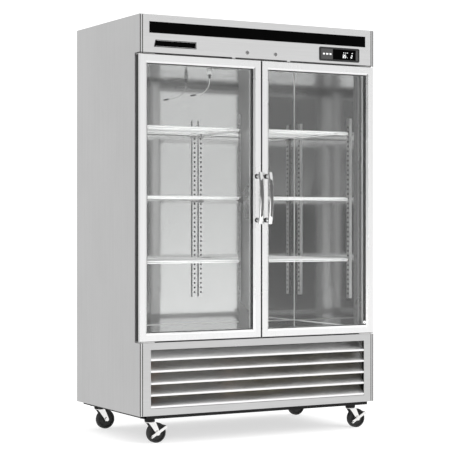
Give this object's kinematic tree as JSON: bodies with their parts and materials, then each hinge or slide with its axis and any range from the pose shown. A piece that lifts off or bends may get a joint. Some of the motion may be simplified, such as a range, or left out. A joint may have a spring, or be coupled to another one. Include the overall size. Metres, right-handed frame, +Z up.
{
  "type": "glass door merchandiser",
  "caption": "Tall refrigerated merchandiser with glass doors, wire shelves, a louvred lower panel, a header with a key lock per door, and swivel casters.",
  "frame": {"origin": "on the floor, under the centre of the overall box (handles included)", "axes": "+Z up, -Y towards the glass doors (front), +X to the right when facing the front"},
  "size_m": [1.372, 0.82, 2.103],
  "materials": {
    "stainless": "brushed",
    "galvanised": "spangled, matt",
    "liner": "bright brushed",
    "foam": "foamed",
    "slotted_steel": "satin",
    "shelf_coating": "smooth white coating",
    "gloss_black": "gloss",
    "black_plastic": "matt",
    "white_plastic": "satin",
    "chrome": "polished",
    "door_metal": "satin, bright",
    "glass": "clear",
    "gasket": "matt",
    "black_steel": "semi-gloss black",
    "zinc": "zinc plated",
    "wheel": "matt",
    "fins": "satin",
    "copper": "bright drawn copper",
    "fan_plastic": "matt"
  },
  "bodies": {
    "cabinet": {"side_panel_left": "stainless", "side_panel_right": "stainless", "back_panel": "galvanised", "top_panel": "stainless", "foam_insulation": "foam", "inner_liner": "liner", "ceiling_panel": "liner", "face_frame": "liner", "shelf_pilasters": "slotted_steel", "shelf_clips": "slotted_steel", "wire_shelves": "shelf_coating", "header_panel": "stainless", "header_strip": "gloss_black", "badge_plate": "gloss_black", "controller_housing": "black_plastic", "lock_housings": "chrome", "grille_frame": "stainless", "grille_blades": "stainless", "mullion_lamp": "white_plastic", "base_frame": "black_steel", "compressor": "black_steel", "condenser_coil": "fins", "condenser_fan_shroud": "galvanised", "condensate_pan": "galvanised", "electrical_box": "galvanised", "refrigerant_lines": "copper", "rear_cover": "galvanised", "cord_gland": "black_plastic", "evaporator_coil": "fins", "evaporator_fan_guard": "black_steel", "hinge_brackets": "zinc", "temperature_probe": "white_plastic", "caster_plates": "black_steel"},
    "door_left": {"door_frame_left": "door_metal", "door_liner_left": "black_plastic", "door_glass_left": "glass", "door_gasket_left": "gasket", "door_handle_left": "chrome"},
    "door_right": {"door_frame_right": "door_metal", "door_liner_right": "black_plastic", "door_glass_right": "glass", "door_gasket_right": "gasket", "door_handle_right": "chrome"},
    "lock_left": {"lock_plug_left": "chrome"},
    "lock_right": {"lock_plug_right": "chrome"},
    "key_set": {"button_set": "white_plastic"},
    "key_up": {"button_up": "white_plastic"},
    "key_down": {"button_down": "white_plastic"},
    "fork_front_left": {"caster_fork_front_left": "zinc"},
    "wheel_front_left": {"caster_wheel_front_left": "wheel"},
    "brake_left": {"brake_lever_left": "zinc"},
    "fork_front_right": {"caster_fork_front_right": "zinc"},
    "wheel_front_right": {"caster_wheel_front_right": "wheel"},
    "brake_right": {"brake_lever_right": "zinc"},
    "fork_rear_left": {"caster_fork_rear_left": "zinc"},
    "wheel_rear_left": {"caster_wheel_rear_left": "wheel"},
    "fork_rear_right": {"caster_fork_rear_right": "zinc"},
    "wheel_rear_right": {"caster_wheel_rear_right": "wheel"},
    "condenser_fan": {"condenser_fan_blade": "fan_plastic"},
    "evaporator_fan": {"evaporator_fan_blade": "fan_plastic"}
  },
  "joints": [
    {"name": "door_hinge_left", "type": "hinge", "parent": "cabinet", "child": "door_left", "pos_m": [-0.666, -0.327, 1.2065], "axis": [0, 0, -1], "range_deg": [0, 120]},
    {"name": "door_hinge_right", "type": "hinge", "parent": "cabinet", "child": "door_right", "pos_m": [0.666, -0.327, 1.2065], "axis": [0, 0, 1], "range_deg": [0, 120]},
    {"name": "lock_turn_left", "type": "hinge", "parent": "cabinet", "child": "lock_left", "pos_m": [-0.083, -0.352, 1.945], "axis": [0, 1, 0], "range_deg": [0, 90]},
    {"name": "lock_turn_right", "type": "hinge", "parent": "cabinet", "child": "lock_right", "pos_m": [0.083, -0.352, 1.945], "axis": [0, -1, 0], "range_deg": [0, 90]},
    {"name": "key_press_set", "type": "slide", "parent": "cabinet", "child": "key_set", "axis": [0, 1, 0], "range_m": [0, 0.001], "stiffness_N_per_m": 400},
    {"name": "key_press_up", "type": "slide", "parent": "cabinet", "child": "key_up", "axis": [0, 1, 0], "range_m": [0, 0.001], "stiffness_N_per_m": 400},
    {"name": "key_press_down", "type": "slide", "parent": "cabinet", "child": "key_down", "axis": [0, 1, 0], "range_m": [0, 0.001], "stiffness_N_per_m": 400},
    {"name": "swivel_front_left", "type": "hinge", "parent": "cabinet", "child": "fork_front_left", "pos_m": [-0.593, -0.272, 0.115], "axis": [0, 0, 1], "continuous": true},
    {"name": "roll_front_left", "type": "hinge", "parent": "fork_front_left", "child": "wheel_front_left", "pos_m": [-0.559, -0.272, 0.05], "axis": [0, 1, 0], "continuous": true},
    {"name": "brake_tilt_left", "type": "hinge", "parent": "fork_front_left", "child": "brake_left", "pos_m": [-0.559, -0.272, 0.05], "axis": [0, -1, 0], "range_deg": [0, 14]},
    {"name": "swivel_front_right", "type": "hinge", "parent": "cabinet", "child": "fork_front_right", "pos_m": [0.593, -0.272, 0.115], "axis": [0, 0, 1], "continuous": true},
    {"name": "roll_front_right", "type": "hinge", "parent": "fork_front_right", "child": "wheel_front_right", "pos_m": [0.627, -0.272, 0.05], "axis": [0, 1, 0], "continuous": true},
    {"name": "brake_tilt_right", "type": "hinge", "parent": "fork_front_right", "child": "brake_right", "pos_m": [0.627, -0.272, 0.05], "axis": [0, -1, 0], "range_deg": [0, 14]},
    {"name": "swivel_rear_left", "type": "hinge", "parent": "cabinet", "child": "fork_rear_left", "pos_m": [-0.593, 0.33, 0.115], "axis": [0, 0, 1], "continuous": true},
    {"name": "roll_rear_left", "type": "hinge", "parent": "fork_rear_left", "child": "wheel_rear_left", "pos_m": [-0.559, 0.33, 0.05], "axis": [0, 1, 0], "continuous": true},
    {"name": "swivel_rear_right", "type": "hinge", "parent": "cabinet", "child": "fork_rear_right", "pos_m": [0.593, 0.33, 0.115], "axis": [0, 0, 1], "continuous": true},
    {"name": "roll_rear_right", "type": "hinge", "parent": "fork_rear_right", "child": "wheel_rear_right", "pos_m": [0.627, 0.33, 0.05], "axis": [0, 1, 0], "continuous": true},
    {"name": "condenser_fan_spin", "type": "hinge", "parent": "cabinet", "child": "condenser_fan", "pos_m": [-0.31, -0.152, 0.3], "axis": [0, 1, 0], "continuous": true},
    {"name": "evaporator_fan_spin", "type": "hinge", "parent": "cabinet", "child": "evaporator_fan", "pos_m": [0, -0.022, 1.918], "axis": [0, 0, 1], "continuous": true}
  ]
}
